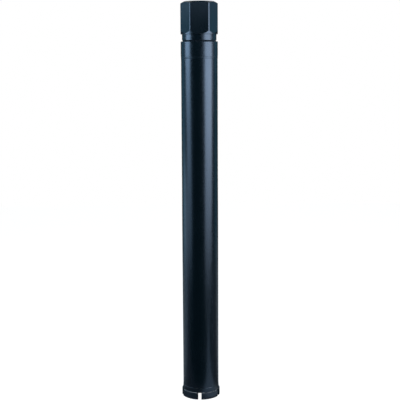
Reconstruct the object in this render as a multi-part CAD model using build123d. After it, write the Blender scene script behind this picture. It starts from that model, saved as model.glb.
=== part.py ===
"""Diamond core bit: a threaded steel hub, a long thin barrel and a crown of welded segments.

Millimetres. The bit stands on its crown: the origin is the centre of the cutting face, +Z runs
up the axis to the hub, and one flat of the hexagon faces -Y.
"""
import os
from math import cos, radians, sin, tan

from build123d import *

# crown
crown_d = 48.0
segment_count = 5
segment_height = 8.5
segment_thickness = 4.0
slot_width = 4.2
slot_azimuth = -5.6
segment_edge_break = 0.3

# barrel
barrel_side_clearance = 1.5
barrel_wall = 2.0
barrel_length = 420.5
weld_band_proud = 0.15
weld_band_height = 6.0
weld_band_taper = 0.4

# hub: collar welded to the barrel
collar_proud = 0.2
collar_length = 18.0
collar_top_chamfer = 0.5
collar_foot_chamfer = 0.2
spigot_length = 12.0
spigot_clearance = 0.05
spigot_chamfer = 1.0

# hub: neck with a narrow V groove at its foot
neck_d = 42.2
neck_length = 8.4
groove_width = 1.2
groove_depth = 1.0
neck_edge_chamfer = 0.3

# hub: hexagon milled on a blank turned to the collar's diameter, with a thin ring left below it
hex_across_flats = 40.0
hex_length = 39.6
hex_foot_chamfer = 0.3
hex_top_face_d = 36.4
hex_top_chamfer_angle = 30.0
flat_cutter_d = 35.0
foot_ring_height = 0.5

# hub: 1-1/4"-7 UNC socket and the water way below it
thread_minor_d = 27.8
thread_depth = 38.0
thread_mouth_d = 32.4
thread_mouth_chamfer_angle = 45.0
water_bore_d = 20.0
relief_d = 32.2
relief_length = 5.0

# what the sizes above lead to
barrel_d = crown_d - 2 * barrel_side_clearance
barrel_inner_d = barrel_d - 2 * barrel_wall
collar_d = barrel_d + 2 * collar_proud
hex_corner_d = collar_d
barrel_bottom_z = segment_height
barrel_top_z = barrel_bottom_z + barrel_length
spigot_bottom_z = barrel_top_z - spigot_length
collar_top_z = barrel_top_z + collar_length
groove_top_z = collar_top_z + groove_width
hex_bottom_z = collar_top_z + neck_length
hub_top_z = hex_bottom_z + hex_length


def turned(points):
    """Turn a closed (radius, z) outline about the axis."""
    outline = Plane.XZ * make_face(Polyline(*points, close=True))
    return revolve(outline, Axis.Z)


def around(azimuth):
    """Angle about +Z of a direction that is azimuth degrees round from -Y."""
    return azimuth - 90.0


def hub_blank():
    """Outside of the hub as it leaves the lathe, solid through the middle."""
    spigot_r = barrel_inner_d / 2 - spigot_clearance
    collar_r = collar_d / 2
    neck_r = neck_d / 2
    corner_r = hex_corner_d / 2
    top_r = hex_top_face_d / 2
    top_drop = (corner_r - top_r) * tan(radians(hex_top_chamfer_angle))
    return turned([
        (0, spigot_bottom_z),
        (spigot_r - spigot_chamfer, spigot_bottom_z),
        (spigot_r, spigot_bottom_z + spigot_chamfer),
        (spigot_r, barrel_top_z),
        (collar_r - collar_foot_chamfer, barrel_top_z),
        (collar_r, barrel_top_z + collar_foot_chamfer),
        (collar_r, collar_top_z - collar_top_chamfer),
        (collar_r - collar_top_chamfer, collar_top_z),
        (neck_r - neck_edge_chamfer, collar_top_z),
        (neck_r - groove_depth, (collar_top_z + groove_top_z) / 2),
        (neck_r - neck_edge_chamfer, groove_top_z),
        (neck_r, groove_top_z + neck_edge_chamfer),
        (neck_r, hex_bottom_z),
        (corner_r - hex_foot_chamfer, hex_bottom_z),
        (corner_r, hex_bottom_z + hex_foot_chamfer),
        (corner_r, hub_top_z - top_drop),
        (top_r, hub_top_z),
        (0, hub_top_z),
    ])


def flat_cut():
    """What the milling cutter takes away beyond the flat at -Y: its round end leaves an arc."""
    cutter_r = flat_cutter_d / 2
    lowest_centre_z = hex_bottom_z + foot_ring_height + cutter_r
    travel = hub_top_z + cutter_r - lowest_centre_z
    path = Pos(0, lowest_centre_z) * Circle(cutter_r)
    path += Pos(0, lowest_centre_z + travel / 2) * Rectangle(flat_cutter_d, travel)
    face = Plane(origin=(0, -hex_across_flats / 2, 0), x_dir=(1, 0, 0), z_dir=(0, -1, 0))
    return extrude(face * path, hex_corner_d / 2)


def socket():
    """Threaded socket at its minor diameter, run-out groove and water way."""
    minor_r = thread_minor_d / 2
    mouth_r = thread_mouth_d / 2
    mouth_depth = (mouth_r - minor_r) / tan(radians(thread_mouth_chamfer_angle))
    thread_end_z = hub_top_z - thread_depth
    relief_r = relief_d / 2
    water_r = water_bore_d / 2
    return turned([
        (0, spigot_bottom_z),
        (water_r, spigot_bottom_z),
        (water_r, thread_end_z - relief_length),
        (relief_r, thread_end_z - relief_length),
        (relief_r, thread_end_z),
        (minor_r, thread_end_z),
        (minor_r, hub_top_z - mouth_depth),
        (mouth_r, hub_top_z),
        (0, hub_top_z),
    ])


def hub():
    blank = hub_blank() - socket()
    for side in range(6):
        blank -= Rot(0, 0, 60 * side) * flat_cut()
    return blank


def barrel_tube():
    """Drawn tube, with the ground band above the segment weld a little proud of it."""
    outer_r = barrel_d / 2
    inner_r = barrel_inner_d / 2
    band_r = outer_r + weld_band_proud
    band_top_z = barrel_bottom_z + weld_band_height
    return turned([
        (inner_r, barrel_bottom_z),
        (band_r, barrel_bottom_z),
        (band_r, band_top_z - weld_band_taper),
        (outer_r, band_top_z),
        (outer_r, barrel_top_z),
        (inner_r, barrel_top_z),
    ])


def segment_ring():
    """The ring that all segments lie in, with its outer cutting edge just broken."""
    outer_r = crown_d / 2
    inner_r = outer_r - segment_thickness
    return turned([
        (inner_r, 0),
        (outer_r - segment_edge_break, 0),
        (outer_r, segment_edge_break),
        (outer_r, segment_height - segment_edge_break),
        (outer_r - segment_edge_break, segment_height),
        (inner_r, segment_height),
    ])


def sector(azimuth):
    """Wedge between the middles of two neighbouring slots, centred on azimuth."""
    reach = crown_d
    half_step = 180.0 / segment_count
    angles = [around(azimuth - half_step), around(azimuth), around(azimuth + half_step)]
    corners = [(reach * cos(radians(a)), reach * sin(radians(a))) for a in angles]
    return extrude(make_face(Polyline((0, 0), *corners, close=True)), segment_height)


def slot(azimuth):
    """Straight-sided water slot through the crown at azimuth."""
    cutter = Pos(crown_d / 2, 0, segment_height / 2) * Box(crown_d, slot_width, segment_height)
    return Rot(0, 0, around(azimuth)) * cutter


def segment(index):
    """One diamond segment: the piece of the ring between two slots."""
    step = 360.0 / segment_count
    centre = slot_azimuth + step * (index + 0.5)
    piece = segment_ring() & sector(centre)
    return piece - slot(centre - step / 2) - slot(centre + step / 2)


nodes = {"hub": hub(), "barrel_tube": barrel_tube()}
for i in range(segment_count):
    nodes[f"segment_{i + 1}"] = segment(i)

os.makedirs("parts", exist_ok=True)
for name, shape in nodes.items():
    solid = shape.solids()[0]
    solid.label = name
    export_step(solid, f"parts/{name}.step")
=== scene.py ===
from math import acos, asin, ceil, cos, degrees, pi, radians, sin, sqrt, tan

import bmesh
import bpy
from bpy.props import FloatProperty, FloatVectorProperty, IntProperty, PointerProperty
from mathutils import Euler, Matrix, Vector


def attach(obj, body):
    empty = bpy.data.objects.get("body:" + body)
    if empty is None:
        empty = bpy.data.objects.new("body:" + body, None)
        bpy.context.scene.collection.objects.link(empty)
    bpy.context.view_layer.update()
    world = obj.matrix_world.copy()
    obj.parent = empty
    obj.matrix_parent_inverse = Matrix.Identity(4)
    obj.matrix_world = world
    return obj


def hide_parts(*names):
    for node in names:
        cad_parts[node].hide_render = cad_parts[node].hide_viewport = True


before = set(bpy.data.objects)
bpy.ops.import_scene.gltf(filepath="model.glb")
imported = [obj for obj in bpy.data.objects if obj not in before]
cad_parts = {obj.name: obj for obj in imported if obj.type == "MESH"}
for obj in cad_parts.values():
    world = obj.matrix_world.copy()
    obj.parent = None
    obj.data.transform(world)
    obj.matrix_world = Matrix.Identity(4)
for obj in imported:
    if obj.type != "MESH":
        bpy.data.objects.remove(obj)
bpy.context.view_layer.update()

BODY = "root"

bl_info = {
    "name": "Diamond Core Bit",
    "version": (1, 0, 0),
    "blender": (4, 5, 0),
    "location": "3D View > Sidebar > Core Bit",
    "description": "Dresses a diamond core bit: threaded hub, barrel, segments, welds and finishes",
    "category": "Add Mesh",
}

MM = 0.001
WHITE = (1.0, 1.0, 1.0)
COAT_IOR = 1.8    # iron oxide under oil


# ---------- sizes and colours

def length(name, description, default, low=0.0, high=1000.0):
    """A size in millimetres, shown in the panel."""
    return FloatProperty(name=name, description=description, default=default, min=low, max=high)


def angle_in_degrees(name, description, default):
    """An angle that is kept in radians and shown in degrees."""
    return FloatProperty(name=name, description=description, default=radians(default), subtype="ANGLE")


def colour(name, description, default):
    return FloatVectorProperty(name=name, description=description, default=default,
                               subtype="COLOR", size=3, min=0.0, max=1.0)


def share(name, description, default):
    return FloatProperty(name=name, description=description, default=default,
                         min=0.0, max=1.0, subtype="FACTOR")


def level(name, description, default):
    return FloatProperty(name=name, description=description, default=default, min=0.0)


class HubSizes(bpy.types.PropertyGroup):
    """Turned and milled hub, in millimetres"""
    collar_d: length("Collar diameter", "Collar that is welded to the barrel", 45.4)
    collar_foot: length("Collar foot", "Height of the collar's foot, where the barrel ends", 429.0)
    collar_top: length("Collar top", "Height of the collar's upper face", 447.0)
    collar_chamfer: length("Collar chamfer", "Chamfer round the top of the collar", 0.5)
    spigot_d: length("Spigot diameter", "Spigot inside the barrel", 40.9)
    spigot_length: length("Spigot length", "How deep the spigot sits in the barrel", 12.0)
    neck_d: length("Neck diameter", "Neck between collar and hexagon", 42.2)
    groove_width: length("Groove width", "Narrow groove at the foot of the neck", 1.2)
    groove_depth: length("Groove depth", "Depth of that groove", 1.0)
    hexagon_foot: length("Hexagon foot", "Height at which the hexagon starts", 455.4)
    hexagon_top: length("Hexagon top", "Height of the hub's upper face", 495.0)
    across_flats: length("Across flats", "Spanner size of the hexagon", 40.0)
    corner_d: length("Corner diameter", "Turned diameter over the hexagon's corners", 45.4)
    foot_chamfer: length("Foot chamfer", "Chamfer under the hexagon's corners", 0.3)
    cutter_d: length("Cutter diameter", "Milling cutter whose arc ends each flat", 35.0)
    ring_height: length("Ring height", "Turned ring left below the middle of each flat", 0.5)
    face_d: length("Face diameter", "Flat ring on top, inside the 30 degree chamfer", 36.4)
    thread_major_d: length("Thread major diameter", "1-1/4 inch thread, over the roots", 31.75)
    thread_minor_d: length("Thread minor diameter", "Same thread, over the crests", 27.8)
    thread_pitch: length("Thread pitch", "Seven turns to the inch", 25.4 / 7)
    thread_depth: length("Thread depth", "Depth of the threaded socket", 38.0)
    mouth_d: length("Mouth diameter", "45 degree chamfer at the mouth of the socket", 32.4)
    relief_d: length("Relief diameter", "Run-out groove below the thread", 32.2)
    relief_length: length("Relief length", "Height of the run-out groove", 5.0)
    water_d: length("Water way diameter", "Water way from the socket to the barrel", 20.0)
    edge_radius: length("Edge radius", "Rounding of machined edges", 0.16)
    arc_edge: length("Arc edge", "Rounding of the edge that the milling cutter's arc leaves", 0.25)


class BarrelSizes(bpy.types.PropertyGroup):
    """Drawn tube, in millimetres"""
    outer_d: length("Outer diameter", "Outside of the tube", 45.0)
    inner_d: length("Inner diameter", "Bore of the tube", 41.0)
    bottom: length("Bottom", "Height at which the tube meets the segments", 8.5)
    top: length("Top", "Height at which the tube meets the collar", 429.0)
    band_proud: length("Band step", "How far the ground band stands proud of the tube", 0.15)
    band_height: length("Band height", "Height of the ground band above the weld", 6.0)
    band_taper: length("Band taper", "Height over which the band runs out into the tube", 0.4)
    sides: IntProperty(name="Sides", description="Faces round the tube", default=216, min=24)


class CrownSizes(bpy.types.PropertyGroup):
    """Diamond segments, in millimetres"""
    outer_d: length("Outer diameter", "Outside of the segments", 48.0)
    thickness: length("Thickness", "Radial thickness of a segment", 4.0)
    height: length("Height", "Height of a segment", 8.5)
    slot_width: length("Slot width", "Water slot between two segments", 4.2)
    slot_azimuth: FloatProperty(name="Slot azimuth", default=-5.6,
                                description="Where the front slot is, in degrees round from -Y")
    count: IntProperty(name="Segments", description="Number of segments", default=5, min=1)
    edge_break: length("Edge break", "Width of the bevel on a segment's edges", 0.28)
    grit_size: length("Grit size", "Across one diamond crystal", 0.42)
    grit_density: FloatProperty(name="Grit density", default=0.75, min=0.0,
                                description="Crystals to each square millimetre of surface")
    skin: length("Skin", "How far the matrix stays back from the crystals' tips", 0.06)


class WeldSizes(bpy.types.PropertyGroup):
    """Weld beads, in millimetres"""
    bead_width: length("Bead width", "Width of the beads above the segments", 1.3)
    bead_height: length("Bead height", "Height of those beads", 1.1)
    bead_pitch: length("Bead pitch", "From one ripple to the next", 0.9)
    bead_ripple: share("Bead ripple", "Depth of the ripples, as a share of the bead", 0.42)
    collar_width: length("Collar bead width", "Width of the bead under the collar", 0.28)
    collar_height: length("Collar bead height", "Height of that bead", 4.6)
    collar_pitch: length("Collar bead pitch", "From one ripple to the next", 1.0)
    collar_ripple: share("Collar bead ripple", "Depth of its ripples, as a share", 0.06)


class Finishes(bpy.types.PropertyGroup):
    """Colours and gloss of the bit"""
    coat: colour("Coat", "Blue-black coat of the hub and barrel", (0.0008, 0.0028, 0.0042))
    coat_sheen: colour("Coat reflection", "Tint of what the coat reflects", (0.50, 0.70, 1.0))
    coat_roughness: share("Coat roughness", "Satin gloss of the coat", 0.26)
    bare_steel: colour("Bare steel", "Steel where the coat is rubbed through", (0.36, 0.38, 0.40))
    matrix: colour("Segment matrix", "Sintered metal of the cutting face", (0.24, 0.22, 0.20))
    crystal: colour("Crystal", "Diamond grit", (0.50, 0.49, 0.34))


class StageSettings(bpy.types.PropertyGroup):
    """Camera and light, with distances in millimetres"""
    camera_distance: length("Camera distance", "From the bit's axis", 1160.0, 1, 9999)
    camera_height: length("Camera height", "Above the floor", 435.0, 0, 9999)
    camera_azimuth: angle_in_degrees("Camera azimuth", "Round the axis from -Y", -1.5)
    camera_drop: angle_in_degrees("Camera drop", "How far it looks down from level", 8.47)
    camera_roll: angle_in_degrees("Camera roll", "Turn about its line of sight", -0.3)
    camera_shift: FloatProperty(name="Camera shift", default=-0.02125, precision=5,
                                description="Vertical shift, as a share of the frame")
    lens: FloatProperty(name="Lens", description="Focal length on a 36 mm sensor", default=84.7,
                        min=1.0, unit="CAMERA")
    key_level: level("Right softboxes", "Radiance at a share of 1", 5.3)
    side_level: level("Left softboxes", "Radiance at a share of 1", 5.4)
    back_level: level("Back softboxes", "Radiance at a share of 1", 1.0)


GROUPS = {"core_bit_hub": HubSizes, "core_bit_barrel": BarrelSizes, "core_bit_crown": CrownSizes,
          "core_bit_weld": WeldSizes, "core_bit_finish": Finishes, "core_bit_stage": StageSettings}


# ---------- node trees

class Term:
    """A socket in an expression: each operator adds the Math node that it means."""

    def __init__(self, graph, socket):
        self.graph, self.socket = graph, socket

    def math(self, operation, *others, clamp=False):
        settings = {"operation": operation, "use_clamp": clamp}
        return self.graph.node("ShaderNodeMath", settings, dict(enumerate((self,) + others)))[0]

    def __add__(self, other):
        return self.math("ADD", other)

    __radd__ = __add__

    def __sub__(self, other):
        return self.math("SUBTRACT", other)

    def __rsub__(self, other):
        return self.graph.term(other).math("SUBTRACT", self)

    def __mul__(self, other):
        return self.math("MULTIPLY", other)

    __rmul__ = __mul__

    def __truediv__(self, other):
        return self.math("DIVIDE", other)

    def __lt__(self, other):
        return self.math("LESS_THAN", other)

    def root(self):
        return self.math("SQRT")

    def size(self):
        return self.math("ABSOLUTE")

    def low(self, other):
        return self.math("MINIMUM", other)

    def high(self, other):
        return self.math("MAXIMUM", other)

    def held(self):
        """Kept between 0 and 1."""
        return self.math("ADD", 0.0, clamp=True)

    def ramp(self, start, end):
        """Eases from 0 to 1 while this goes from start to end."""
        return self.graph.node("ShaderNodeMapRange", {"interpolation_type": "SMOOTHSTEP"},
                               {0: self, 1: start, 2: end})[0]

    def ramp_mm(self, start, end):
        """The same for a place, with start and end in millimetres."""
        return self.ramp(start * MM, end * MM)


class Made:
    """A new node, whose outputs come as terms."""

    def __init__(self, graph, node):
        self.graph, self.node = graph, node

    def __getitem__(self, key):
        return Term(self.graph, self.node.outputs[key])


class Graph:
    """A node tree that is written as expressions."""

    def __init__(self, tree):
        self.tree = tree

    def node(self, kind, settings=None, sockets=None):
        """Adds a node: its settings first, then the values or links of its sockets."""
        node = self.tree.nodes.new(kind)
        for name, value in (settings or {}).items():
            setattr(node, name, value)
        for key, value in (sockets or {}).items():
            if isinstance(value, Term):
                self.tree.links.new(value.socket, node.inputs[key])
            else:
                node.inputs[key].default_value = value
        return Made(self, node)

    def term(self, value):
        """A number as a term."""
        return self.node("ShaderNodeMath", {"operation": "ADD"}, {0: value, 1: 0.0})[0]

    def split(self, vector):
        parts = self.node("ShaderNodeSeparateXYZ", None, {0: vector})
        return parts[0], parts[1], parts[2]

    def joined(self, x, y, z):
        return self.node("ShaderNodeCombineXYZ", None, {0: x, 1: y, 2: z})[0]

    def mixed(self, factor, a, b):
        """From colour a to colour b."""
        return self.node("ShaderNodeMix", {"data_type": "RGBA"},
                         {0: factor, 6: as_rgba(a), 7: as_rgba(b)})[2]

    def either(self, factor, a, b):
        """Shader a where the factor is 0 and shader b where it is 1."""
        return self.node("ShaderNodeMixShader", None, {0: factor, 1: a, 2: b})[0]

    def shader(self, kind, colour, **more):
        return self.node(kind, None, {"Color": as_rgba(colour), **more})[0]

    def noise(self, vector, scale, detail=2.0, roughness=0.5):
        """Soft noise from 0 to 1; scale is in features to the metre."""
        return self.node("ShaderNodeTexNoise", None, {"Vector": vector, "Scale": scale,
                                                      "Detail": detail, "Roughness": roughness})[0]

    def lines(self, position, scale, detail=2.0):
        """Noise that changes along one number only, as tool marks do."""
        return self.node("ShaderNodeTexNoise", {"noise_dimensions": "1D"},
                         {"W": position, "Scale": scale, "Detail": detail})[0]


def as_rgba(value):
    return value if isinstance(value, Term) else (*value, 1.0)


class Finish(Graph):
    """A material whose patterns lie on the piece's own Object coordinates."""

    def __init__(self, name):
        self.material = bpy.data.materials.new(name)
        self.material.use_nodes = True
        super().__init__(self.material.node_tree)
        self.tree.nodes.clear()
        self.point = self.node("ShaderNodeTexCoord")["Object"]
        self.x, self.y, self.z = self.split(self.point)
        self.radius = (self.x * self.x + self.y * self.y).root()

    def attribute(self, name):
        return self.node("ShaderNodeAttribute", {"attribute_name": name})["Fac"]

    def drawn_out(self, along, turn=(0.0, 0.0, 0.0)):
        """The coordinates scaled along Z, so that a share below 1 lengthens a pattern."""
        return self.node("ShaderNodeMapping", None,
                         {"Vector": self.point, "Rotation": turn, "Scale": (1, 1, along)})[0]

    def bumped(self, height, distance, normal=None):
        sockets = {"Height": height, "Distance": distance}
        if normal is not None:
            sockets["Normal"] = normal
        return self.node("ShaderNodeBump", None, sockets)[0]

    def clouded(self, coat, cloud):
        """The coat's colour, a little paler where the cloud is dense."""
        paler = tuple(c * k for c, k in zip(coat, (1.35, 1.25, 1.2)))
        return self.mixed(cloud.ramp(0.3, 0.7), coat, paler)

    def surface(self, finish, base, metallic, roughness, normal):
        """Closes the tree with a Principled shader that reflects as the coat does."""
        shader = self.node("ShaderNodeBsdfPrincipled", None, {
            "Base Color": base, "Metallic": metallic, "Roughness": roughness, "Normal": normal,
            "Specular Tint": as_rgba(finish.coat_sheen), "IOR": COAT_IOR})
        self.node("ShaderNodeOutputMaterial", None, {"Surface": shader["BSDF"]})
        return self.material


# ---------- finishes

EDGE_WEAR = 0.16    # how much bare steel shows on a rubbed edge


def machined_coat(finish):
    """Hub: satin blue-black over turned and milled steel, a little rubbed on its edges."""
    f = Finish("hub_blue_black_coat")
    hub = bpy.context.scene.core_bit_hub
    flat, neck_r, mouth_r = hub.across_flats / 2, hub.neck_d / 2, hub.mouth_d / 2
    pairs = [(f.x * cos(a) + f.y * sin(a)).size() for a in (radians(30), radians(90), radians(150))]
    apothem = pairs[0].high(pairs[1]).high(pairs[2])
    in_hexagon = f.z.ramp_mm(hub.hexagon_foot - 0.1, hub.hexagon_foot)
    on_flat = apothem.ramp_mm(flat - 0.04, flat - 0.02) * in_hexagon
    on_top = f.z.ramp_mm(hub.hexagon_top - 0.06, hub.hexagon_top - 0.02)
    turned = (1 - on_flat) * (1 - on_top)
    above_spigot = f.z.ramp_mm(hub.collar_foot + 5, hub.collar_foot + 6)
    in_socket = f.radius.ramp_mm(mouth_r + 0.1, mouth_r) * above_spigot
    in_groove = f.z.ramp_mm(hub.collar_top - 0.1, hub.collar_top)
    in_groove = in_groove * f.radius.ramp_mm(neck_r - 0.25, neck_r - 0.45)
    in_groove = in_groove * (f.z < (hub.collar_top + hub.groove_width) * MM) * (1 - in_socket)
    handled = f.z.ramp_mm(hub.hexagon_foot + 6, hub.hexagon_top)

    cloud = f.noise(f.point, 55, 3)
    smudge = f.noise(f.drawn_out(0.45), 130, 4, 0.6)
    grain = f.noise(f.point, 2600, 2, 0.6)
    turning = f.lines(f.z, 3600, 3)
    facing = f.lines(f.radius, 3600, 3)
    milling = f.lines(f.z + f.noise(f.point, 25, 1) * 0.002, 2300, 3)
    speck = f.noise(f.point, 1500, 1).ramp(0.735, 0.77)
    rub = f.noise(f.point, 420, 4, 0.65)

    worn = f.attribute("edge") * rub.ramp(0.50, 0.72) * EDGE_WEAR
    worn = (worn + speck * 0.05 * (1 - in_socket)).held()
    oiled = in_socket * (0.35 + 0.65 * rub.ramp(0.35, 0.7))
    bare = worn.high(oiled * 0.55)
    base = f.mixed(bare, f.clouded(finish.coat, cloud), finish.bare_steel)

    rough = finish.coat_roughness + 0.01 + on_flat * (0.02 + handled * 0.12)
    rough = rough + (smudge - 0.5) * 0.12 + (grain - 0.5) * 0.08 + in_groove * 0.45
    rough = (rough - bare * 0.02).held()

    normal = f.bumped(turning * turned + milling * on_flat * 0.7 + facing * on_top, 0.000006)
    normal = f.bumped(grain + smudge * 0.5, 0.000010, normal)
    return f.surface(finish, base, bare, rough, normal)


def drawn_coat(finish):
    """Barrel: the same coat on drawn tube, with draw lines, scuffs and a ground band at the crown."""
    f = Finish("barrel_blue_black_coat")
    barrel = bpy.context.scene.core_bit_barrel
    outer, band_top = barrel.outer_d / 2, barrel.bottom + barrel.band_height
    outside = f.radius.ramp_mm(outer - 0.6, outer - 0.5)
    bore = 1 - outside
    band = f.z.ramp_mm(band_top, band_top - 0.5) * outside
    band_edge = f.z.ramp_mm(band_top + 0.06, band_top - 0.12)
    band_edge = band_edge * f.z.ramp_mm(band_top - 0.65, band_top - 0.3) * outside

    cloud = f.noise(f.point, 30, 3)
    draw = f.noise(f.drawn_out(0.06), 900, 3, 0.6)
    peel = f.noise(f.point, 900, 2, 0.55)
    fine = f.noise(f.point, 3200, 2, 0.6)
    smudge = f.noise(f.drawn_out(0.35), 75, 4, 0.6)
    grinding = f.lines(f.z, 4200, 3)
    scratch = f.noise(f.drawn_out(0.05, (0.5, 0.2, 0.0)), 700, 2).ramp(0.70, 0.76)
    scuff = scratch * f.noise(f.point, 45, 2).ramp(0.50, 0.66) * 0.22
    rub = f.noise(f.point, 380, 4, 0.65)

    worn = band_edge * rub.ramp(0.46, 0.62) * EDGE_WEAR
    worn = (worn + scuff * 0.25 + band * rub.ramp(0.60, 0.72) * 0.06).held()
    inside = f.mixed(rub, (0.045, 0.043, 0.042), (0.10, 0.085, 0.07))
    coated = f.mixed(worn, f.clouded(finish.coat, cloud), finish.bare_steel)
    base = f.mixed(bore, coated, inside)

    rough = finish.coat_roughness + (smudge - 0.5) * 0.12 + (fine - 0.5) * 0.08
    rough = (rough + bore * 0.2 + band * 0.06).held()

    normal = f.bumped(grinding * (0.25 + band), 0.000005)
    normal = f.bumped(draw * 0.6 + peel, 0.000014, normal)
    normal = f.bumped(fine, 0.000006, normal)
    return f.surface(finish, base, worn.high(bore * 0.5), rough, normal)


def sintered(finish, crystal):
    """Segments: coated sides over a sandy sintered matrix, bare on the cutting face."""
    f = Finish("diamond_crystal" if crystal else "segment_matrix")
    crown = bpy.context.scene.core_bit_crown
    rub = f.noise(f.point, 520, 4, 0.65)
    sand = f.noise(f.point, 2400, 3, 0.65)
    pores = f.noise(f.point, 3800, 1).ramp(0.62, 0.50)
    face = (f.z + (rub - 0.5) * 0.0009).ramp_mm(0.55, 0.25)
    shoulder = f.z.ramp_mm(crown.height - 0.45, crown.height - 0.15)
    shoulder = shoulder * f.radius.ramp_mm(crown.outer_d / 2 - 0.75, crown.outer_d / 2 - 0.25)
    rubbed = face + shoulder * rub.ramp(0.50, 0.64) * 0.6
    rubbed = (rubbed + rub.ramp(0.66, 0.74) * 0.25).held()
    body = finish.crystal if crystal else finish.matrix
    tone = f.mixed(sand, tuple(0.7 * c for c in body), tuple(min(1.0, 1.25 * c) for c in body))
    base = f.mixed(rubbed, tuple(c * 1.25 for c in finish.coat), tone)
    if crystal:
        rough = 0.42 - rubbed * 0.22 + sand * 0.06
        metal = rubbed * 0.1
    else:
        rough = 0.40 + sand * 0.16 + rubbed * 0.05
        metal = rubbed * 0.85
    normal = f.bumped(sand + pores, 0.000030)
    return f.surface(finish, base, metal, rough.held(), normal)


def weld_metal(finish, name, rubbed):
    """Weld beads: coated, and rubbed bright in patches by the given share."""
    f = Finish(name)
    spot = f.noise(f.point, 330, 3, 0.6)
    ripple = f.noise(f.point, 2600, 2)
    bright = (spot.ramp(0.42, 0.52) * rubbed).held()
    base = f.mixed(bright, tuple(c * 1.2 for c in finish.coat), finish.bare_steel)
    rough = (finish.coat_roughness + 0.02 + ripple * 0.06).held()
    return f.surface(finish, base, bright, rough, f.bumped(ripple, 0.00002))


# ---------- mesh helpers

def show(name, mesh):
    piece = bpy.data.objects.new(name, mesh)
    bpy.context.scene.collection.objects.link(piece)
    return piece


def dress(piece, slot, *nodes):
    """Says what a finished piece rides on and stands for; its slot is not used."""
    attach(piece, BODY)
    if nodes:
        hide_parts(*nodes)
    return piece


def face_outwards(mesh, clean_up=None):
    """Turns the faces outwards, after a clean-up of the mesh where one is given."""
    work = bmesh.new()
    work.from_mesh(mesh)
    if clean_up:
        clean_up(work)
    bmesh.ops.recalc_face_normals(work, faces=work.faces)
    work.to_mesh(mesh)
    work.free()


def sharpen(mesh, limit=32):
    """Smooth shading that breaks at edges of more than limit degrees."""
    mesh.shade_smooth()
    mesh.set_sharp_from_angle(angle=radians(limit))


def baked(piece, name):
    """The evaluated piece as a plain mesh, with its modifiers removed."""
    bpy.context.view_layer.update()
    graph = bpy.context.evaluated_depsgraph_get()
    mesh = bpy.data.meshes.new_from_object(piece.evaluated_get(graph), depsgraph=graph)
    mesh.name = name
    piece.modifiers.clear()
    old = piece.data
    piece.data = mesh
    bpy.data.meshes.remove(old)
    return piece


EASE_STEPS = 3                        # faces round an eased corner
POINTS_PER_CORNER = EASE_STEPS + 3    # with the holding point to each side of it


def rounded(corners):
    """A (radius, height) outline whose corners (radius, height, rounding) are eased, and held by a
    point to each side so that the walls between them shade flat; says which points lie on an edge."""
    points = []
    for i, (r, z, ease) in enumerate(corners):
        here = Vector((r, z))
        ends, holds = [], []
        for neighbour in (corners[i - 1], corners[(i + 1) % len(corners)]):
            way = Vector(neighbour[:2]) - here
            ends.append(here + way.normalized() * min(ease, way.length * 0.45))
            holds.append(here + way.normalized() * min(ease * 1.6, way.length * 0.48))
        points.append((holds[0].x, holds[0].y, 0.0))
        for k in range(EASE_STEPS + 1):
            t = k / EASE_STEPS
            spot = ends[0] * (1 - t) ** 2 + here * (2 * t * (1 - t)) + ends[1] * t ** 2
            points.append((spot.x, spot.y, 1.0 if 0 < k < EASE_STEPS and ease > 0 else 0.0))
        points.append((holds[1].x, holds[1].y, 0.0))
    return points


# ---------- hub

# Small edges in millimetres, an angle in degrees and a count
SPIGOT_CHAMFER = 1.0
COLLAR_FOOT_EDGE = 0.2
GROOVE_EDGE = 0.3
CORNER_BLEND = 0.16    # over which a flat runs into a turned corner
TOP_ANGLE = 30         # of the chamfer round the hub's upper face
THREAD_STEPS = 16      # rows of faces in one turn of the thread


def soft_least(a, b, blend):
    gap = max(blend - abs(a - b), 0.0) / blend
    return min(a, b) - gap * gap * blend / 4


def off_flat(angle):
    """Degrees from the middle of the nearest flat."""
    return (degrees(angle) + 90 + 30) % 60 - 30


def corner_start(hub):
    """Degrees from the middle of a flat to the turned corner beside it."""
    return degrees(acos(hub.across_flats / hub.corner_d))


def flat_foot(hub, across):
    """Height at which a flat ends, at a distance across from its middle: the arc of the cutter."""
    cutter_r = hub.cutter_d / 2
    return hub.hexagon_foot + hub.ring_height + cutter_r - sqrt(cutter_r ** 2 - across ** 2)


def hub_angles(hub):
    """Angles round the hub: close together where a flat meets a turned corner."""
    side = [0, 2.5, 5, 7.5, 10, 12, 14, 16, 18, 20, 21.8, 23.5, 25, 26.3, 29.2]
    side += [corner_start(hub) + d for d in (-1.5, -1.0, -0.55, -0.2, 0.2, 0.55, 1.0, 1.5)]
    steps = sorted({round(s * d, 4) for s in side for d in (-1, 1)} | {30.0})
    return [radians(-90 + 60 * k + step) for k in range(6) for step in steps]


def thread_radius(hub, turns):
    """Radius of the socket's wall at a phase of the thread, counted in turns along the axis."""
    major, minor = hub.thread_major_d / 2, hub.thread_minor_d / 2
    phase = turns % 1.0
    crest, flank, root = 4 / 16, 5 / 16, 2 / 16
    if phase <= crest:
        return minor
    if phase <= crest + flank:
        return minor + (major - minor) * (phase - crest) / flank
    if phase <= crest + flank + root:
        return major
    return major - (major - minor) * (phase - crest - flank - root) / flank


def thread_wall(hub, turn):
    """The socket's wall from its mouth to the foot of its thread, at a share of a turn round."""
    pitch, top = hub.thread_pitch, hub.hexagon_top
    thread_end = top - hub.thread_depth
    turns = ceil(hub.thread_depth / pitch)
    wall = []
    for k in range((turns + 1) * THREAD_STEPS + 1):
        height = thread_end + turns * pitch - k * pitch / THREAD_STEPS
        z = min(max(height + turn * pitch, thread_end), top - hub.edge_radius * 0.5)
        mouth = hub.mouth_d / 2 - (top - z)
        wall.append((max(thread_radius(hub, (z - thread_end) / pitch - turn), mouth), z, 0.0))
    return wall


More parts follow.
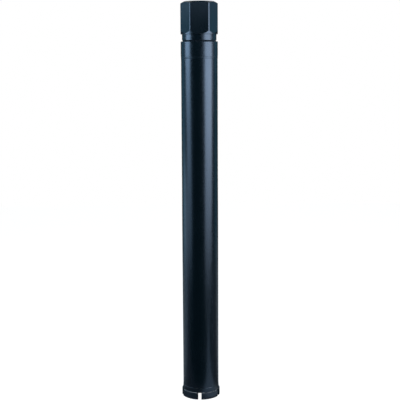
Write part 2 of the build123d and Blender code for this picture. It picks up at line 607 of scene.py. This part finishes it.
def hub_section(hub, angle, turn):
    """Outline of the hub at one angle: up the outside, over the top and down the socket.
    turn is the angle's share of a whole turn, which the thread climbs by."""
    ease, foot, collar_top = hub.edge_radius, hub.collar_foot, hub.collar_top
    half, corner_r, neck_r = hub.across_flats / 2, hub.corner_d / 2, hub.neck_d / 2
    collar_r, spigot_r, water_r = hub.collar_d / 2, hub.spigot_d / 2, hub.water_d / 2
    face_r, mouth_r, relief_r = hub.face_d / 2, hub.mouth_d / 2, hub.relief_d / 2
    off = off_flat(angle)
    r = soft_least(half / cos(radians(off)), corner_r, CORNER_BLEND)
    high = hub.hexagon_top - (r - face_r) * tan(radians(TOP_ANGLE))
    flat_end = sqrt(corner_r ** 2 - half ** 2)
    wall_in = flat_foot(hub, min(half * tan(radians(abs(off))), flat_end))
    wall_out = flat_foot(hub, min(corner_r * sin(radians(abs(off))), flat_end))
    groove_r, groove_top = neck_r - hub.groove_depth, collar_top + hub.groove_width
    bottom = foot - hub.spigot_length
    outside = [
        (water_r, bottom, ease), (spigot_r - SPIGOT_CHAMFER, bottom, ease),
        (spigot_r, bottom + SPIGOT_CHAMFER, ease), (spigot_r, foot, 0),
        (collar_r - COLLAR_FOOT_EDGE, foot, 0), (collar_r, foot + COLLAR_FOOT_EDGE, ease),
        (collar_r, collar_top - hub.collar_chamfer, ease),
        (collar_r - hub.collar_chamfer, collar_top, ease),
        (neck_r - GROOVE_EDGE, collar_top, 0), (groove_r, (collar_top + groove_top) / 2, 0.05),
        (neck_r - GROOVE_EDGE, groove_top, 0.1), (neck_r, groove_top + GROOVE_EDGE, 0.1),
        (neck_r, hub.hexagon_foot, 0), (corner_r - hub.foot_chamfer, hub.hexagon_foot, 0.05),
        (corner_r, hub.hexagon_foot + hub.foot_chamfer, 0.02), (corner_r, wall_out, hub.arc_edge),
        (r, wall_in, 0), (r, high, ease * 1.6),
        (face_r, hub.hexagon_top, ease), (mouth_r, hub.hexagon_top, ease),
    ]
    thread_end = hub.hexagon_top - hub.thread_depth
    relief_foot = thread_end - hub.relief_length
    inside = [(relief_r, thread_end, 0), (relief_r, relief_foot, 0.4), (water_r, relief_foot, ease)]
    loop = rounded(outside + inside)
    split = POINTS_PER_CORNER * len(outside)
    return loop[:split] + thread_wall(hub, turn) + loop[split:]


def join_seam(work):
    """Joins the hub's seam and clears what has no size."""
    bmesh.ops.remove_doubles(work, verts=work.verts, dist=0.002 * MM)
    bmesh.ops.dissolve_degenerate(work, edges=work.edges, dist=0.001 * MM)


def loop_edges(count, size):
    """Neighbouring points a and b of each of the first count loops, with size points in a loop."""
    return [(i * size + j, i * size + (j + 1) % size) for i in range(count) for j in range(size)]


def hub_mesh(hub):
    """The hub's sections joined round the axis, with its rubbed edges marked for the finish."""
    angles = hub_angles(hub)
    start = angles[0]
    angles.append(start + 2 * pi)
    sections = [hub_section(hub, angle, (angle - start) / (2 * pi)) for angle in angles]
    points, marks = [], []
    for angle, section in zip(angles, sections):
        on_edge = abs(abs(off_flat(angle)) - corner_start(hub)) < 0.6
        for r, z, mark in section:
            points.append((r * cos(angle) * MM, r * sin(angle) * MM, z * MM))
            in_hexagon = hub.hexagon_foot + 2.5 < z < hub.hexagon_top - 1.0
            on_outside = r > hub.across_flats / 2 - 0.1
            marks.append(1.0 if on_edge and in_hexagon and on_outside else mark)
    size = len(sections[0])
    faces = [(a, a + size, b + size, b) for a, b in loop_edges(len(angles) - 1, size)]
    mesh = bpy.data.meshes.new("hub")
    mesh.from_pydata(points, [], faces)
    layer = mesh.attributes.new("edge", "FLOAT", "POINT")
    layer.data.foreach_set("value", marks)
    face_outwards(mesh, join_seam)
    return mesh


class CORE_BIT_OT_hub(bpy.types.Operator):
    """Turn the hub, mill its hexagon and cut its thread"""
    bl_idname = "core_bit.hub"
    bl_label = "Hub"

    def execute(self, context):
        mesh = hub_mesh(context.scene.core_bit_hub)
        sharpen(mesh)
        mesh.materials.append(machined_coat(context.scene.core_bit_finish))
        dress(show("hub_machined", mesh), "hub_steel", "hub")
        return {"FINISHED"}


# ---------- node trees that make shapes

SEAM = 0.002 * MM    # points closer than this are one


class ShapeTree(Graph):
    """A Geometry Nodes tree with named inputs."""

    def __init__(self, name, start, inputs, end):
        super().__init__(bpy.data.node_groups.new(name, "GeometryNodeTree"))
        face = self.tree.interface
        face.new_socket(start, in_out="INPUT", socket_type="NodeSocketGeometry")
        self.sockets = {}
        for label, kind in inputs.items():
            made = face.new_socket(label, in_out="INPUT", socket_type="NodeSocket" + kind)
            self.sockets[label] = made.identifier
        face.new_socket(end, in_out="OUTPUT", socket_type="NodeSocketGeometry")
        self.given = self.node("NodeGroupInput")

    def grid(self, columns, rows):
        return self.node("GeometryNodeMeshGrid", None,
                         {"Size X": 1.0, "Size Y": 1.0, "Vertices X": columns, "Vertices Y": rows})["Mesh"]

    def random(self, kind, low, high, seed):
        return self.node("FunctionNodeRandomValue", {"data_type": kind},
                         {"Min": low, "Max": high, "Seed": seed})["Value"]

    def place_on_grid(self, rows):
        """Column and row of a point of the grid."""
        index = self.node("GeometryNodeInputIndex")[0]
        column = (index / rows).math("FLOOR")
        return column, index - column * rows

    def about_axis(self, mesh, r, turn, z):
        """Moves points to a radius, an angle and a height."""
        return self.moved(mesh, Position=self.joined(r * turn.math("COSINE"), r * turn.math("SINE"), z))

    def moved(self, shape, **where):
        return self.node("GeometryNodeSetPosition", None, {"Geometry": shape, **where})[0]

    def real(self, shape):
        return self.node("GeometryNodeRealizeInstances", None, {0: shape})[0]

    def coated(self, shape, finish):
        return self.node("GeometryNodeSetMaterial", None, {"Geometry": shape, "Material": finish})[0]

    def close(self, shape, finish):
        """Ends the tree with a shape whose seams are joined."""
        joined = self.node("GeometryNodeMergeByDistance", None, {0: shape, "Distance": SEAM})[0]
        self.node("NodeGroupOutput", None, {0: self.coated(self.real(joined), finish)})

    def use_on(self, piece, values):
        """Gives the piece this tree as a modifier, with values for its named inputs."""
        modifier = piece.modifiers.new(self.tree.name, "NODES")
        modifier.node_group = self.tree
        for label, value in values.items():
            modifier[self.sockets[label]] = value


# ---------- barrel

def turning_tree():
    """Turns an outline, given as the points of a mesh, about the Z axis."""
    g = ShapeTree("turned_outline", "Outline",
                  {"Sides": "Int", "Outline Points": "Int", "Finish": "Material"}, "Turned")
    sides, rows = g.given["Sides"], g.given["Outline Points"]
    grid = g.grid(sides + 1, rows)
    column, row = g.place_on_grid(rows * 1.0)
    spot = g.node("GeometryNodeSampleIndex", {"data_type": "FLOAT_VECTOR", "domain": "POINT"},
                  {"Geometry": g.given["Outline"], "Index": row,
                   "Value": g.node("GeometryNodeInputPosition")[0]})[0]
    r, _, z = g.split(spot)
    g.close(g.about_axis(grid, r, column / sides * (2 * pi), z), g.given["Finish"])
    return g


def turned_piece(name, outline, sides, finish):
    """A piece turned from a closed (radius, height) outline in millimetres."""
    outline = outline + outline[:1]
    mesh = bpy.data.meshes.new(name)
    mesh.from_pydata([(r * MM, 0.0, z * MM) for r, z, _ in outline], [], [])
    piece = show(name, mesh)
    turning_tree().use_on(piece, {"Sides": sides, "Outline Points": len(outline), "Finish": finish})
    baked(piece, name)
    face_outwards(piece.data)
    sharpen(piece.data)
    return piece


class CORE_BIT_OT_barrel(bpy.types.Operator):
    """Draw the barrel, with the ground band above its weld"""
    bl_idname = "core_bit.barrel"
    bl_label = "Barrel"

    def execute(self, context):
        barrel = context.scene.core_bit_barrel
        outer, inner, top = barrel.outer_d / 2, barrel.inner_d / 2, barrel.top
        band, band_top = outer + barrel.band_proud, barrel.bottom + barrel.band_height
        outline = rounded([
            (inner, barrel.bottom, 0.1), (band, barrel.bottom, 0.05),
            (band, band_top - barrel.band_taper, 0.2), (outer, band_top, 0.2),
            (outer, top, 0.12), (inner, top, 0.1),
        ])
        finish = drawn_coat(context.scene.core_bit_finish)
        piece = turned_piece("barrel_drawn", outline, barrel.sides, finish)
        dress(piece, "barrel_steel", "barrel_tube")
        return {"FINISHED"}


# ---------- segments

SEGMENT_COLUMNS = 28
SEGMENT_DEPTH = 3     # faces across its thickness


def segment_mesh(crown, centre):
    """One segment of the ring between two slots, as a closed shell with square edges."""
    outer = crown.outer_d / 2 - crown.skin
    inner = crown.outer_d / 2 - crown.thickness + crown.skin
    low, high = crown.skin, crown.height
    rows = [low, low + 0.5, 2.5, 5.0, 7.5, high - 0.5, high]
    loop = [(outer, z) for z in rows]
    loop += [(outer + (inner - outer) * k / SEGMENT_DEPTH, high) for k in range(1, SEGMENT_DEPTH)]
    loop += [(inner, z) for z in reversed(rows)]
    loop += [(inner + (outer - inner) * k / SEGMENT_DEPTH, low) for k in range(1, SEGMENT_DEPTH)]
    points = []
    for i in range(SEGMENT_COLUMNS + 1):
        for r, z in loop:
            reach = radians(180.0 / crown.count) - asin(crown.slot_width / 2 / r)
            angle = radians(centre - 90) + reach * (2 * i / SEGMENT_COLUMNS - 1)
            points.append((r * cos(angle) * MM, r * sin(angle) * MM, z * MM))
    size = len(loop)
    last = SEGMENT_COLUMNS * size
    faces = [(a, b, b + size, a + size) for a, b in loop_edges(SEGMENT_COLUMNS, size)]
    faces += [tuple(range(size)), tuple(last + j for j in reversed(range(size)))]
    mesh = bpy.data.meshes.new("segment")
    mesh.from_pydata(points, [], faces)
    face_outwards(mesh)
    return mesh


GRIT_SEED = 11
GRIT_SEED_STEP = 7
DEEPEST, SHALLOWEST = -0.95, -0.45    # where a crystal's middle sits, in crystal radii from the surface


def grit_tree():
    """Sets diamond crystals into the surface of a segment."""
    g = ShapeTree("diamond_grit", "Segment", {
        "Crystals per Square Metre": "Float", "Crystal Radius": "Float", "Seed": "Int",
        "Outer Radius": "Float", "Matrix": "Material", "Crystal": "Material"}, "Dressed")
    seed, crystal_r = g.given["Seed"], g.given["Crystal Radius"]
    points = g.node("GeometryNodeDistributePointsOnFaces", {"distribute_method": "RANDOM"},
                    {"Mesh": g.given["Segment"], "Density": g.given["Crystals per Square Metre"],
                     "Seed": seed})
    sunk = g.random("FLOAT", DEEPEST, SHALLOWEST, seed + 1) * crystal_r
    inward = g.node("ShaderNodeVectorMath", {"operation": "SCALE"}, {0: points["Normal"], "Scale": sunk})
    set_in = g.moved(points["Points"], Offset=inward[0])
    crystal = g.node("GeometryNodeMeshIcoSphere", None, {"Radius": crystal_r, "Subdivisions": 1})["Mesh"]
    turn = g.random("FLOAT_VECTOR", (0.0,) * 3, (2 * pi,) * 3, seed + 2)
    stretch = g.random("FLOAT_VECTOR", (0.55,) * 3, (1.0,) * 3, seed + 3)
    set_out = g.node("GeometryNodeInstanceOnPoints", None,
                     {"Points": set_in, "Instance": crystal, "Rotation": turn, "Scale": stretch})[0]
    x, y, z = g.split(g.node("GeometryNodeInputPosition")[0])
    kept = (g.given["Outer Radius"] / (x * x + y * y).root()).low(1.0)
    trimmed = g.moved(g.real(set_out), Position=g.joined(x * kept, y * kept, z.high(0.00001)))
    both = g.node("GeometryNodeJoinGeometry")
    for part in (g.coated(trimmed, g.given["Crystal"]), g.coated(g.given["Segment"], g.given["Matrix"])):
        g.tree.links.new(part.socket, both.node.inputs[0])
    g.node("NodeGroupOutput", None, {0: both[0]})
    return g


class CORE_BIT_OT_segments(bpy.types.Operator):
    """Set the diamond segments round the crown"""
    bl_idname = "core_bit.segments"
    bl_label = "Segments"

    def execute(self, context):
        crown, finish = context.scene.core_bit_crown, context.scene.core_bit_finish
        matrix, crystal = sintered(finish, False), sintered(finish, True)
        grit = grit_tree()
        for i in range(crown.count):
            centre = crown.slot_azimuth + 360.0 / crown.count * (i + 0.5)
            piece = show(f"diamond_segment_{i + 1}", segment_mesh(crown, centre))
            edges = piece.modifiers.new("broken_edges", "BEVEL")
            edges.width, edges.segments, edges.angle_limit = crown.edge_break * MM, 2, radians(40)
            grit.use_on(piece, {
                "Crystals per Square Metre": crown.grit_density / MM ** 2,
                "Crystal Radius": crown.grit_size / 2 * MM, "Seed": GRIT_SEED + GRIT_SEED_STEP * i,
                "Outer Radius": (crown.outer_d / 2 - 0.02) * MM,
                "Matrix": matrix, "Crystal": crystal})
            baked(piece, piece.name)
            sharpen(piece.data)
            dress(piece, "diamond_segment", f"segment_{i + 1}")
        return {"FINISHED"}


# ---------- welds

BEAD_AROUND = 9      # points round a bead's section, the last on the first
BEAD_ALONG = 480     # faces along a bead
BEAD_END = 10        # faces over which its ends taper to a point


def weld_tree():
    """A rippled weld bead that follows an arc about the Z axis."""
    g = ShapeTree("weld_bead", "Start", {
        "Path Radius": "Float", "Height": "Float", "Start Angle": "Float", "Sweep": "Float",
        "Bead Width": "Float", "Bead Height": "Float", "Ripple Pitch": "Float",
        "Ripple": "Float", "Seed": "Float", "Finish": "Material"}, "Bead")
    path_r, ripple = g.given["Path Radius"], g.given["Ripple"]
    grid = g.grid(BEAD_ALONG + 1, BEAD_AROUND)
    column, row = g.place_on_grid(float(BEAD_AROUND))
    turn = g.given["Start Angle"] + column / float(BEAD_ALONG) * g.given["Sweep"]
    lap = turn * path_r / g.given["Ripple Pitch"]
    wander = g.lines(lap + g.given["Seed"], 0.45) - 0.5
    phase = (lap + wander * 0.8).math("FRACT")
    scallop = 1 - (phase - 0.5) * (phase - 0.5) * 4
    end = (column.low(float(BEAD_ALONG) - column) / float(BEAD_END)).low(1.0)
    swell = (1 - ripple + ripple * scallop + wander * ripple * 1.5) * end.root()
    section = row / float(BEAD_AROUND - 1) * (2 * pi)
    r = path_r + section.math("COSINE") * g.given["Bead Width"] * 0.5 * swell
    z = g.given["Height"] + section.math("SINE") * g.given["Bead Height"] * 0.5 * swell
    g.close(g.about_axis(grid, r, turn, z), g.given["Finish"])
    return g


def bead(name, tree, values):
    piece = show(name, bpy.data.meshes.new(name))
    tree.use_on(piece, values)
    baked(piece, name)
    face_outwards(piece.data)
    sharpen(piece.data, 60)
    return piece


class CORE_BIT_OT_welds(bpy.types.Operator):
    """Lay the weld beads above the segments and under the collar"""
    bl_idname = "core_bit.welds"
    bl_label = "Welds"

    def execute(self, context):
        scene = context.scene
        crown, barrel = scene.core_bit_crown, scene.core_bit_barrel
        hub, weld = scene.core_bit_hub, scene.core_bit_weld
        rubbed = weld_metal(scene.core_bit_finish, "rubbed_weld", 0.95)
        coated = weld_metal(scene.core_bit_finish, "coated_weld", 0.0)
        tree = weld_tree()
        step = 2 * pi / crown.count
        path = barrel.outer_d / 2 + barrel.band_proud + 0.25
        gap = asin(crown.slot_width / 2 / path) + 0.02
        for i in range(crown.count):
            piece = bead(f"segment_weld_{i + 1}", tree, {
                "Path Radius": path * MM, "Height": (crown.height + 0.04) * MM,
                "Start Angle": radians(crown.slot_azimuth - 90) + step * i + gap,
                "Sweep": step - 2 * gap, "Bead Width": weld.bead_width * MM,
                "Bead Height": weld.bead_height * MM, "Ripple Pitch": weld.bead_pitch * MM,
                "Ripple": weld.bead_ripple, "Seed": 3.7 * i + 1.3, "Finish": rubbed})
            dress(piece, "barrel_steel")
        ring = bead("collar_weld", tree, {
            "Path Radius": (barrel.outer_d / 2 - 0.02) * MM, "Height": (hub.collar_foot - 0.5) * MM,
            "Start Angle": 0.0, "Sweep": 2 * pi, "Bead Width": weld.collar_width * MM,
            "Bead Height": weld.collar_height * MM, "Ripple Pitch": weld.collar_pitch * MM,
            "Ripple": weld.collar_ripple, "Seed": 9.1, "Finish": coated})
        dress(ring, "barrel_steel")
        return {"FINISHED"}


# ---------- stage

# Each softbox: name, azimuth round from -Y and half its width in degrees, height of its foot and top
# in millimetres, and its share of the group's level
RIGHT_BOXES = (
    ("right_high", 57, 23, 380, 1000, 0.85),
    ("right_high_soft_edge", 57, 37, 330, 1000, 0.17),
    ("right_middle", 56, 24, 250, 380, 0.80),
    ("right_low", 55, 24, 120, 250, 0.50),
    ("right_foot", 51, 23, 5, 120, 0.25),
)
LEFT_BOXES = (
    ("left_high", -79, 18, 430, 1000, 1.00),
    ("left_middle", -77, 16, 320, 430, 0.50),
    ("left_low", -72, 15, 200, 320, 0.27),
    ("left_foot", -88, 34, 5, 200, 0.17),
)
BACK_BOXES = (
    ("back_right_high", 118, 17, 400, 1100, 0.36),
    ("back_right_low", 118, 17, 5, 400, 0.20),
    ("back_left_high", -122, 17, 400, 1100, 0.32),
    ("back_left_low", -122, 17, 5, 400, 0.40),
)
RIGHT_TINT = (1.0, 0.98, 0.98)
LEFT_TINT = (0.77, 0.91, 1.0)
BACK_TINT = (0.30, 0.75, 1.0)
FRONT_TINT = (0.25, 0.7, 1.0)
FLOOR_TINT = (0.88, 0.96, 1.0)
ROOM_TINT = (0.30, 0.85, 1.0)
ROOM_LEVEL = 0.04
BOX_DISTANCE = 800      # from the bit's axis, in millimetres
FRONT_DISTANCE = 1300
GLOW_DISTANCE = 180
GLOW_AZIMUTH = 48
FLOOR = [(-900, -70, 0), (900, -70, 0), (900, 1500, 0), (-900, 1500, 0)]
BACKDROP = [(-700, 1700, -200), (700, 1700, -200), (700, 1700, 2300), (-700, 1700, 2300)]
# Paper greys seen only by the bit: painted shade on the white paper, strongest in front of the bit
NEAR_PAINTED_SHADE = (0.15, 0.15, 0.16)
FAR_PAINTED_SHADE = (0.60, 0.60, 0.61)


def white_paper(name, glow_share, shade_share, in_metal):
    """White paper. The camera sees a plain white with a share of the real light and shade on it, and
    so does metal where in_metal is set. Otherwise the paper is grey to the bit, a painted shade that is
    dark in front of it and beside it on the right, and paler behind it."""
    material = bpy.data.materials.new(name)
    material.use_nodes = True
    g = Graph(material.node_tree)
    g.tree.nodes.clear()
    path = g.node("ShaderNodeLightPath")
    seen = path["Is Camera Ray"]
    if in_metal:
        seen = seen.high(path["Is Glossy Ray"]).high(path["Is Transmission Ray"])
    x, y, _ = g.split(g.node("ShaderNodeTexCoord")["Object"])
    # Painted shade on the paper: the dark grey in front and to the right gives way to the paler grey
    # behind
    behind = (y - x.high(0.0) * 0.5).ramp_mm(-20, 60)
    near = g.shader("ShaderNodeBsdfDiffuse", NEAR_PAINTED_SHADE)
    far = g.shader("ShaderNodeBsdfDiffuse", FAR_PAINTED_SHADE)
    glow = g.shader("ShaderNodeEmission", WHITE, Strength=glow_share)
    shade = g.shader("ShaderNodeBsdfDiffuse", (shade_share,) * 3)
    shown = g.node("ShaderNodeAddShader", None, {0: glow, 1: shade})[0]
    both = g.either(seen, g.either(behind, near, far), shown)
    g.node("ShaderNodeOutputMaterial", None, {"Surface": both})
    return material


def sheet_of_paper(name, corners, material):
    """A flat sheet between corners in millimetres, which is no part of the bit."""
    mesh = bpy.data.meshes.new(name)
    mesh.from_pydata([tuple(c * MM for c in corner) for corner in corners], [], [(0, 1, 2, 3)])
    mesh.materials.append(material)
    show(name, mesh)


def softbox(name, azimuth, half_width, foot, top, radiance, tint, distance=BOX_DISTANCE):
    """A lamp that faces the axis, azimuth degrees round from -Y and half_width degrees wide to each
    side, from a height foot to a height top. The camera doesn't see it."""
    lamp = bpy.data.lights.new(name, "AREA")
    lamp.shape = "RECTANGLE"
    lamp.size, lamp.size_y = 2 * distance * tan(radians(half_width)) * MM, (top - foot) * MM
    lamp.energy = radiance * pi * lamp.size * lamp.size_y
    lamp.color = tint
    piece = bpy.data.objects.new(name, lamp)
    turn = radians(azimuth)
    piece.location = (distance * sin(turn) * MM, -distance * cos(turn) * MM, (foot + top) / 2 * MM)
    piece.rotation_euler = Euler((pi / 2, 0, turn))
    piece.visible_camera = False
    bpy.context.scene.collection.objects.link(piece)
    return piece


def lamps(stage):
    """Softboxes to the right, left and back, one in front, and a lit patch of floor by the crown."""
    groups = ((RIGHT_BOXES, stage.key_level, RIGHT_TINT), (LEFT_BOXES, stage.side_level, LEFT_TINT),
              (BACK_BOXES, stage.back_level, BACK_TINT))
    for boxes, group_level, tint in groups:
        for name, azimuth, half_width, foot, top, part in boxes:
            softbox(name, azimuth, half_width, foot, top, group_level * part, tint)
    softbox("front_high", 10, 40, 700, 1300, 0.20, FRONT_TINT, FRONT_DISTANCE)
    glow = softbox("floor_glow", GLOW_AZIMUTH, 10, 0, 310, 0.42, FLOOR_TINT, GLOW_DISTANCE)
    glow.location.z = 2 * MM
    glow.rotation_euler = Euler((pi, 0, radians(GLOW_AZIMUTH)))


def studio():
    """The room round the stage: white to the camera, a faint blue-green to the bit."""
    world = bpy.data.worlds.new("studio")
    world.use_nodes = True
    g = Graph(world.node_tree)
    g.tree.nodes.clear()
    seen = g.node("ShaderNodeLightPath")["Is Camera Ray"]
    room = g.shader("ShaderNodeBackground", ROOM_TINT, Strength=ROOM_LEVEL)
    both = g.either(seen, room, g.shader("ShaderNodeBackground", WHITE, Strength=1.0))
    g.node("ShaderNodeOutputWorld", None, {"Surface": both})
    return world


def camera_piece(stage):
    """The camera, upright but for its roll, looking down at the bit."""
    camera = bpy.data.cameras.new("camera")
    camera.lens, camera.sensor_width, camera.sensor_height = stage.lens, 36.0, 36.0
    camera.sensor_fit = "HORIZONTAL"
    camera.shift_y = stage.camera_shift
    camera.clip_start, camera.clip_end = 0.01, 50.0
    piece = bpy.data.objects.new("camera", camera)
    turn, distance = stage.camera_azimuth, stage.camera_distance
    piece.location = (distance * sin(turn) * MM, -distance * cos(turn) * MM, stage.camera_height * MM)
    view = Euler((pi / 2 - stage.camera_drop, 0, turn)).to_matrix().to_4x4()
    roll = Euler((0, 0, stage.camera_roll)).to_matrix().to_4x4()
    piece.rotation_euler = (view @ roll).to_euler()
    return piece


class CORE_BIT_OT_stage(bpy.types.Operator):
    """Set up the white floor and backdrop, the lamps and the camera"""
    bl_idname = "core_bit.stage"
    bl_label = "Stage"

    def execute(self, context):
        scene = context.scene
        sheet_of_paper("floor", FLOOR, white_paper("white_floor", 0.965, 0.25, False))
        sheet_of_paper("backdrop", BACKDROP, white_paper("white_backdrop", 1.0, 0.0, True))
        lamps(scene.core_bit_stage)
        scene.world = studio()
        scene.camera = camera_piece(scene.core_bit_stage)
        scene.collection.objects.link(scene.camera)
        scene.view_settings.view_transform = "Standard"
        return {"FINISHED"}


# ---------- panel and run

OPERATORS = (CORE_BIT_OT_hub, CORE_BIT_OT_barrel, CORE_BIT_OT_segments, CORE_BIT_OT_welds,
             CORE_BIT_OT_stage)


class CORE_BIT_PT_panel(bpy.types.Panel):
    """Sizes, colours and steps of the core bit"""
    bl_label = "Diamond Core Bit"
    bl_idname = "CORE_BIT_PT_panel"
    bl_space_type = "VIEW_3D"
    bl_region_type = "UI"
    bl_category = "Core Bit"

    def draw(self, context):
        for name in GROUPS:
            box = self.layout.box()
            settings = getattr(context.scene, name)
            for key in settings.bl_rna.properties.keys():
                if key not in ("rna_type", "name"):
                    box.prop(settings, key)
        for operator in OPERATORS:
            self.layout.operator(operator.bl_idname)


def register():
    for name, group in GROUPS.items():
        bpy.utils.register_class(group)
        setattr(bpy.types.Scene, name, PointerProperty(type=group))
    for made in OPERATORS + (CORE_BIT_PT_panel,):
        bpy.utils.register_class(made)


def unregister():
    for made in (CORE_BIT_PT_panel,) + tuple(reversed(OPERATORS)):
        bpy.utils.unregister_class(made)
    for name, group in reversed(list(GROUPS.items())):
        delattr(bpy.types.Scene, name)
        bpy.utils.unregister_class(group)


def main():
    register()
    bpy.ops.core_bit.hub()
    bpy.ops.core_bit.barrel()
    bpy.ops.core_bit.segments()
    bpy.ops.core_bit.welds()
    bpy.ops.core_bit.stage()


if __name__ == "__main__":
    main()
